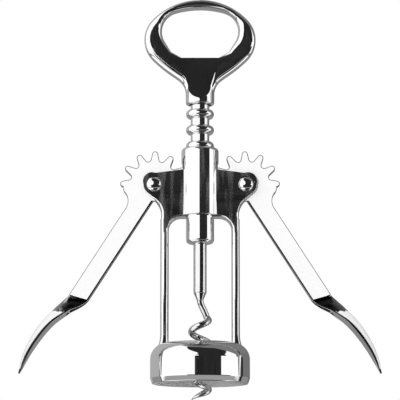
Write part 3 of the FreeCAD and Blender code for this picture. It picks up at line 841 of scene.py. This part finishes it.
def lever(side):
    """One wing, made on the left about its pivot and mirrored for the right."""
    bar = lever_bar()
    corner = plate(heel(), lever_thickness, (arm_edge[0], arm_edge[0]), steps=3)
    for shape in (bar, corner):
        shape.data.transform(Matrix.Rotation(math.radians(spread), 4, "Y"))
    head = plate(toothed_head(), lever_thickness, head_edge, steps=3)
    left, right = head_trim_sides
    trim = [(left, head_trim_low), (right, head_trim_low), (right, head_trim_top), (left, head_trim_top)]
    head = worked(head, cut=[plate(trim, 2.0 * past_lever, (0.0, 0.0), steps=1)])
    way = bar_across([(pivot_bore, -past_lever), (pivot_bore, past_lever)], 0.0, 0.0)
    wing = worked(head, add=[bar, corner], cut=[way])
    wing.data.transform(Matrix.Translation((-pivot_x, 0.0, pivot_z)))
    if side > 0:
        wing.data.transform(Matrix.Scale(-1.0, 4, (1.0, 0.0, 0.0)))
        wing.data.flip_normals()
    return wing


for side, name in both_sides:
    body = name + "_wing"
    fitted(lever(side), body + "_casting", name + "_lever", body, belt_chrome_painted_reflections)


# Rack.  A hollow turned bar with round rings, which mesh with the levers' teeth
# whichever way the handle is turned.  The rings are one ring repeated up the tube.

def growing_tree(name, start, sizes, result):
    """An empty geometry tree with its start, its named sizes and its result; and what it is asked."""
    tree = bpy.data.node_groups.new(name, "GeometryNodeTree")
    tree.interface.new_socket(start, in_out="INPUT", socket_type="NodeSocketGeometry")
    for size, kind in sizes:
        tree.interface.new_socket(size, in_out="INPUT", socket_type="NodeSocket" + kind)
    tree.interface.new_socket(result, in_out="OUTPUT", socket_type="NodeSocketGeometry")
    bench = Bench(tree)
    given = tree.nodes.new("NodeGroupInput")
    return bench, {socket.name: Signal(bench, socket) for socket in given.outputs if socket.name}


def tree_end(bench, shape, result, material):
    """Closes a geometry tree: its instances made real, then their material."""
    real = bench.add("GeometryNodeRealizeInstances", sockets={"Geometry": shape})
    finish = bench.add("GeometryNodeSetMaterial", sockets={"Geometry": real, "Material": material})
    bench.add("NodeGroupOutput", sockets={result: finish})
    return bench.tree


def grown(shape, tree, sizes):
    """The shape run through a geometry tree with its sizes, as a plain mesh."""
    modifier = shape.modifiers.new(tree.name, "NODES")
    modifier.node_group = tree
    places = {item.name: item.identifier for item in tree.interface.items_tree if item.in_out == "INPUT"}
    for name, value in sizes.items():
        modifier[places[name]] = value
    return settled(shape)


def rack_tree(material):
    """Geometry nodes that repeat the ring they are given and join it to the tube."""
    sizes = (("Rings", "Int"), ("Pitch", "Float"), ("First Ring", "Float"), ("Tube", "Object"))
    bench, asked = growing_tree("ringed_rack", "Ring", sizes, "Rack")
    step = bench.add("ShaderNodeCombineXYZ", sockets={"Z": asked["Pitch"]})
    first = bench.add("ShaderNodeCombineXYZ", sockets={"Z": asked["First Ring"]})
    row = {"Count": asked["Rings"], "Start Location": first, "Offset": step}
    places = bench.add("GeometryNodeMeshLine", sockets=row)
    rings = bench.add("GeometryNodeInstanceOnPoints", sockets={"Points": places, "Instance": asked["Ring"]})
    rings = bench.add("GeometryNodeRealizeInstances", sockets={"Geometry": rings})
    bar = bench.add("GeometryNodeObjectInfo", sockets={"Object": asked["Tube"]}, output=4)
    joined = bench.add("GeometryNodeJoinGeometry", sockets={"Geometry": rings})
    rack = bench.add("GeometryNodeMeshBoolean", {"operation": "UNION"}, {"Mesh 2": bar})
    bench.tree.links.new(joined.socket, rack.socket.node.inputs["Mesh 2"])
    return tree_end(bench, rack, "Rack", material)


rack_low, rack_high = (corner.z * 1000.0 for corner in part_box("rack_sleeve"))
ring_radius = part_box("rack_sleeve")[1].x * 1000.0
ring_section = 2.2
ring_count = 6
neck_radius = 4.25
rack_bore = 3.06
ring_sink = 0.6
ring_half_height = 2.15
mesh_offset = 0.49
collar_round = 2.0
collar_top = pivot_z - mesh_offset - 1.5 * tooth_pitch
tube_profile = [(rack_bore, rack_low)]
tube_profile += arc(ring_radius - collar_round, rack_low + collar_round, collar_round, -90, 0, 10)
tube_profile += arc(ring_radius - ring_section, collar_top, ring_section, 0, 84, 10)
tube_profile += [(neck_radius, collar_top + ring_section), (neck_radius, rack_high)]
tube_profile.append((rack_bore, rack_high))
ring_profile = arc(ring_radius - ring_section, 0.0, ring_section, -84, 84, 18)
ring_profile.insert(0, (neck_radius - ring_sink, -ring_half_height))
ring_profile.append((neck_radius - ring_sink, ring_half_height))
tube = turned(tube_profile, 96)
ring = turned(ring_profile, 96)
rack_sizes = {
    "Rings": ring_count,
    "Pitch": tooth_pitch,
    "First Ring": collar_top + tooth_pitch,
    "Tube": tube,
}
rack = grown(ring, rack_tree(mirror_chrome), rack_sizes)
bpy.data.objects.remove(tube)
fitted(rack, "ringed_rack", "rack_sleeve", "rack", mirror_chrome)


# Worm and spindle.  One steel bar: straight through the rack, then drawn down
# and coiled into a right-handed worm with a sharp point.  A line is bent to the
# helix by its own height and a round section follows it.

spindle_low, spindle_high = (corner.z * 1000.0 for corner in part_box("worm_spindle"))
tang_length = 8.0
worm_sizes = {
    "Top": spindle_high - tang_length,
    "Rod End": 41.3,
    "Taper": 3.4,
    "Tip": spindle_low + 0.2,
    "Point": 3.2,
    "Rod Radius": 3.0,
    "Wire Radius": 1.5,
    "Coil Radius": 5.4,
    "Pitch": 10.4,
    "Right Turn": 28.8,
    "Lead In": 9.8,
    "Ease": 1.0,
}


def worm_steel(name):
    """Drawn steel under thin nickel: darker and less even than the castings."""
    material, bench = new_material(name)
    place = bench.add("ShaderNodeTexCoord", output=3)
    drawn = noise(bench, place, 260.0, 5.0)
    tint = blend(bench, noise(bench, place, 90.0, 2.0), (0.9, 0.9, 0.91), (0.78, 0.78, 0.79))
    bump = bench.add("ShaderNodeBump", sockets={"Strength": 0.04, "Distance": 0.0001, "Height": drawn})
    steel = {"Base Color": tint, "Metallic": 1.0, "Roughness": drawn * 0.06 + 0.03, "Normal": bump}
    return finished(material, bench, steel)


def worm_tree(material):
    """Geometry nodes that bend a straight line into the worm and give it its wire."""
    bench, asked = growing_tree("worm", "Mesh", [(name, "Float") for name in worm_sizes], "Worm")
    top = bench.add("ShaderNodeCombineXYZ", sockets={"Z": asked["Top"]})
    tip = bench.add("ShaderNodeCombineXYZ", sockets={"Z": asked["Tip"]})
    line = bench.add("GeometryNodeCurvePrimitiveLine", sockets={"Start": top, "End": tip})
    line = bench.add("GeometryNodeResampleCurve", sockets={"Curve": line, "Count": 620})
    place = bench.add("GeometryNodeInputPosition")
    height = bench.add("ShaderNodeSeparateXYZ", sockets={"Vector": place}, output=2)
    lead = (asked["Right Turn"] + asked["Lead In"] - height) / asked["Lead In"]
    ease = bench.add("ShaderNodeMapRange", {"interpolation_type": "SMOOTHSTEP"}, {"Value": lead})
    coil = (asked["Coil Radius"] - asked["Wire Radius"]) * ease
    above = height - asked["Right Turn"]
    above = above.math("MAXIMUM", above, 0.0)
    above = above.math("MINIMUM", above, asked["Ease"] * 2.0)
    below = height.math("MINIMUM", height - asked["Right Turn"], 0.0)
    turn = (below + above - above * above / (asked["Ease"] * 4.0)) / asked["Pitch"] * (2.0 * math.pi)
    across = coil * turn.math("COSINE", turn)
    along = coil * turn.math("SINE", turn)
    bent = bench.add("ShaderNodeCombineXYZ", sockets={"X": across, "Y": along, "Z": height})
    line = bench.add("GeometryNodeSetPosition", sockets={"Geometry": line, "Position": bent})
    drawn = bench.add("ShaderNodeMapRange", sockets={"Value": (asked["Rod End"] - height) / asked["Taper"]})
    point = grading(bench, height - asked["Tip"], (0.0, asked["Point"]), (0.12, 1.0))
    thick = (asked["Rod Radius"] + (asked["Wire Radius"] - asked["Rod Radius"]) * drawn) * point
    round_section = bench.add("GeometryNodeCurvePrimitiveCircle", sockets={"Resolution": 32, "Radius": 1.0})
    wire = bench.add(
        "GeometryNodeCurveToMesh",
        sockets={"Curve": line, "Profile Curve": round_section, "Scale": thick, "Fill Caps": True},
    )
    return tree_end(bench, wire, "Worm", material)


drawn_steel = worm_steel("drawn_steel")
worm = grown(plug(1, 0, 1, 8), worm_tree(drawn_steel), worm_sizes)
fitted(worm, "worm_and_spindle", "worm_spindle", "handle", drawn_steel)


# Handle.  One casting: the oval loop, the thin opener plate hollowed front and
# back with its straight lip, and a round foot that takes the spindle's tang.

handle_low, handle_high = (corner.z * 1000.0 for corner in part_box("handle"))
loop_depth = 7.6
loop_edge = 2.7
loop_wall_top = 4.4
lip_height = 149.5
lip_half_width = 9.0
yoke_half_width = 6.5
yoke_wall = 1.6
opener_thickness = 3.6
foot_round = 1.0
foot_height = 8.0
foot_crown = (3.9, 6.5)
pocket_flare = 0.7
washer_seat_radius = 5.1
washer_seat_depth = 2.4


def flowing_half(top, *moves):
    """Right side of a loop from its top: (radius, turn) bends it on, a number runs it straight.

    A bend has a point for about every millimetre, and six at least.
    """
    x, z = top
    heading = 0.0
    points = [top]
    for move in moves:
        if isinstance(move, tuple):
            radius, turn = move
            way = 1.0 if turn > 0 else -1.0
            start = heading
            centre_x = x - way * radius * math.sin(math.radians(start))
            centre_z = z - way * radius * math.cos(math.radians(start))
            steps = max(int(abs(turn) * radius / 60.0), 6)
            for i in range(1, steps + 1):
                heading = start + turn * i / steps
                x = centre_x + way * radius * math.sin(math.radians(heading))
                z = centre_z + way * radius * math.cos(math.radians(heading))
                points.append((x, z))
        else:
            x += move * math.cos(math.radians(heading))
            z -= move * math.sin(math.radians(heading))
            points.append((x, z))
    return points


def pocket(side):
    """Shield-shaped cutter, wider at the surface than at the opener plate."""
    foot = handle_low + 3.0
    waist = yoke_half_width - yoke_wall
    top = lip_height + 3.0
    right = [(0.0, top), (lip_half_width + 0.4, top), (lip_half_width, lip_height + 0.6)]
    right += bend(right[-1], (waist + 2.1, lip_height - 6.4), (waist, lip_height - 13.0), 12)
    right += bend(right[-1], (waist * 0.76, foot + 2.0), (0.0, foot), 12)
    outline = both_halves(right)
    rings = []
    levels = ((opener_thickness / 2.0, 0.0), (loop_depth / 2.0, pocket_flare), (loop_depth, pocket_flare))
    for away, growth in levels:
        flare = [-growth * grade(lip_height - z, 5.0, 6.0) for x, z in outline]
        rings.append([(x, side * away, z) for x, z in inset(outline, flare)])
    return skinned(rings)


def outer_rounding(x, z):
    """The loop's outer edge is full and round, a little less so over the thin top."""
    top = grade(z, handle_high - 9.0, 8.0)
    return (loop_edge - 0.5 * top, 3.1)


def hole_rounding(x, z):
    """The hole's edge is full at the sides, less so over the top, and tight along the lip."""
    top = grade(z, handle_high - 13.0, 8.0)
    lip = grade(lip_height - z, -6.0, 5.5)
    return (loop_edge - 0.8 * top - 2.1 * lip, 3.0 - 2.2 * lip)


outside = flowing_half((0.0, handle_high), (30.0, 47), (13.5, 88), (60.0, 10), 4.3, (8.3, -51))
outside += [(yoke_half_width, handle_low + foot_round), (0.0, handle_low + foot_round)]
inside = flowing_half((0.0, handle_high - loop_wall_top), (40.0, 16), (9.0, 74), (9.9, 30), 5.9)
inside += [(lip_half_width, lip_height), (0.0, lip_height)]
loop = plate(both_halves(outside), loop_depth, outer_rounding, both_halves(inside), hole_rounding, steps=8)
foot_top = handle_low + foot_height
foot = [(0.0, handle_low)]
foot += arc(yoke_half_width - foot_round, handle_low + foot_round, foot_round, -90, 0, 6)
foot_middle = (yoke_half_width * 0.8, foot_top + foot_crown[0])
foot += bend((yoke_half_width, foot_top), foot_middle, (0.0, foot_top + foot_crown[1]), 14)
under_handle = 100
washer_seat = plug(washer_seat_radius, under_handle, handle_low + washer_seat_depth, 64)
handle = worked(loop, add=[turned(foot, 96)], cut=[pocket(-1), pocket(1), washer_seat])
handle_chrome = plated_casting("handle_chrome", 0.95, 0.035, 0.004)
fitted(handle, "loop_handle", "handle", "handle", handle_chrome)


# Thrust washer and snap ring.  Small plated steel rings on the spindle, above
# and below the rack.  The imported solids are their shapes.

for name in ("thrust_washer", "snap_ring"):
    for slot in frame["nodes"][name].material_slots:
        slot.material = mirror_chrome


# Stage.  A pale floor just under the worm's point and a bright studio with dark
# screens, which the polished metal reflects.

floor_half = 3.0
floor_gap = 0.0004
camera_tilt = 8.6


def studio_floor(name):
    """Pale matt paint, clear from below and in the metal's reflections."""
    material, bench = new_material(name)
    glossy = bench.add("ShaderNodeLightPath", output="Is Glossy Ray")
    below = bench.add("ShaderNodeNewGeometry", output="Backfacing")
    hidden = below.math("MAXIMUM", below, glossy)
    paint = {"Base Color": (0.86, 0.86, 0.86, 1.0), "Roughness": 0.9}
    shader = bench.add("ShaderNodeBsdfPrincipled", sockets=paint)
    clear = bench.add("ShaderNodeBsdfTransparent")
    mixed = bench.add("ShaderNodeMixShader", sockets={0: hidden, 1: shader, 2: clear})
    bench.add("ShaderNodeOutputMaterial", sockets={"Surface": mixed})
    return material


def studio_world():
    """White all round for the eye; for polished metal, a white studio with dark screens."""
    world = bpy.data.worlds.new("studio")
    bpy.context.scene.world = world
    world.use_nodes = True
    bench = Bench(world.node_tree)
    glossy = bench.add("ShaderNodeLightPath", output="Is Glossy Ray")
    way = bench.add("ShaderNodeTexCoord", output=0)
    x, y, z = parts_of(bench, way)
    azimuth = x.math("ARCTAN2", x, 0.0 - y) * (180.0 / math.pi)
    elevation = z.math("ARCSINE", z) * (180.0 / math.pi)

    def past(value, angle, soft):
        """0 before an angle and 1 after it, over a soft edge."""
        return grading(bench, value, (angle - soft, angle + soft))

    def band(value, low, high, soft):
        """1 between two angles."""
        return past(value, low, soft) * (1.0 - past(value, high, soft))

    # A dark screen in front, a little to the right.  Higher up it stands further to
    # the right, a ledge tops it, and over the ledge it widens to both sides.
    step_up = 6.2
    ledge_top = 14.0
    low = elevation < step_up
    rise = elevation - ledge_top
    climb = rise.math("MAXIMUM", rise - 12.0, 0.0)
    high = past(azimuth + climb * 1.25, -6.0, 2.0) * (1.0 - past(azimuth - rise * 0.6, 60.0, 2.0))
    ledge = band(azimuth, -9.0, 56.0, 0.6) * band(elevation, 11.2, ledge_top, 0.01)
    high = high.math("MAXIMUM", high * (rise > 0.0), ledge)
    screen = band(azimuth, -12.0, 50.0, 0.6) * low + band(azimuth, -3.6, 62.0, 0.6) * (1.0 - low)
    screen = screen.math("MAXIMUM", screen * (rise < 0.0), high) * (elevation > -3.0)

    # Two dark cloths on the floor, which fall away to both sides.
    sunk = elevation - azimuth.math("ABSOLUTE", azimuth) * 0.09
    cloths = band(azimuth, -30.0, 76.0, 1.0) * band(sunk, -29.5, -3.0, 0.5) * (elevation < -2.9)
    cloths = cloths + band(azimuth, -12.0, 72.0, 1.0) * band(sunk, -88.0, -36.5, 1.0)
    screen = screen.math("MAXIMUM", screen, cloths)

    # Narrow dark stands at both sides, which draw the thin lines along the edges.
    stands = band(azimuth, 93.5, 97.5, 0.5) * (1.0 - low) + band(azimuth, 109.5, 117.5, 1.0) * low
    dark = screen.math("MAXIMUM", screen, stands + band(azimuth, -108.5, -105.5, 0.5))

    # Grey walls behind, and a grey floor under the front.
    under_level = elevation < -5.0
    behind_right = past(azimuth, 106.0, 0.8) * (0.85 - 0.09 * under_level)
    behind_left = (1.0 - past(azimuth, -108.0, 0.8)) * (0.62 + 0.14 * under_level)
    side = band(azimuth, 97.5, 106.0, 1.0)
    light = 1.0 - behind_right - behind_left - side * 0.25
    under = (1.0 - past(elevation, -56.0, 6.0)) * 0.85 + band(sunk, -36.0, -29.0, 0.7) * 0.7
    light = light * (1.0 - under * band(azimuth, -118.0, 118.0, 2.0))
    veil = grading(bench, noise(bench, way, 30.0, 2.0), (0.35, 0.75), (0.011, 0.03))
    studio = light * (1.0 - dark) + dark * veil

    # A dim ceiling, which comes down lower on the right.
    right = azimuth.math("MAXIMUM", azimuth.math("MINIMUM", azimuth, 91.0), 0.0)
    slope = right * 0.2 + right.math("MAXIMUM", right - 50.0, 0.0) * 0.75
    ceiling = past(elevation + slope, 67.0, 3.0)
    overhead = 0.17 - 0.12 * past(elevation, 78.0, 4.0)
    studio = (studio * (1.0 - ceiling) + ceiling * overhead) * 1.14
    strength = glossy * studio + (1.0 - glossy)
    white = {"Color": (1.0, 1.0, 1.0, 1.0), "Strength": strength}
    shader = bench.add("ShaderNodeBackground", sockets=white)
    bench.add("ShaderNodeOutputWorld", sockets={"Surface": shader})


floor_height = cad_box[0].z - floor_gap
corners = [(x * floor_half, y * floor_half, floor_height) for x, y in ((-1, -1), (1, -1), (1, 1), (-1, 1))]
mesh = bpy.data.meshes.new("floor")
mesh.from_pydata(corners, [], [(0, 1, 2, 3)])
floor = bpy.data.objects.new("floor", mesh)
floor.data.materials.append(studio_floor("pale_floor"))
bpy.context.scene.collection.objects.link(floor)
studio_world()

key = bpy.data.lights.new("key", "AREA")
key.size = 0.8
key.energy = 2.0
lamp = bpy.data.objects.new("key", key)
lamp.location = (-0.7, -0.8, 1.1)
lamp.rotation_euler = (Vector((0.0, 0.0, 0.08)) - lamp.location).to_track_quat("-Z", "Y").to_euler()
lamp.visible_glossy = False
bpy.context.scene.collection.objects.link(lamp)

lens = bpy.data.cameras.new("camera")
lens.sensor_width = 36.0
lens.lens = 210.0
camera = bpy.data.objects.new("camera", lens)
camera.location = (0.0, -1.05, -0.075)
camera.rotation_euler = (math.radians(90.0 + camera_tilt), 0.0, 0.0)
bpy.context.scene.collection.objects.link(camera)
bpy.context.scene.camera = camera
bpy.context.scene.view_settings.view_transform = "Standard"
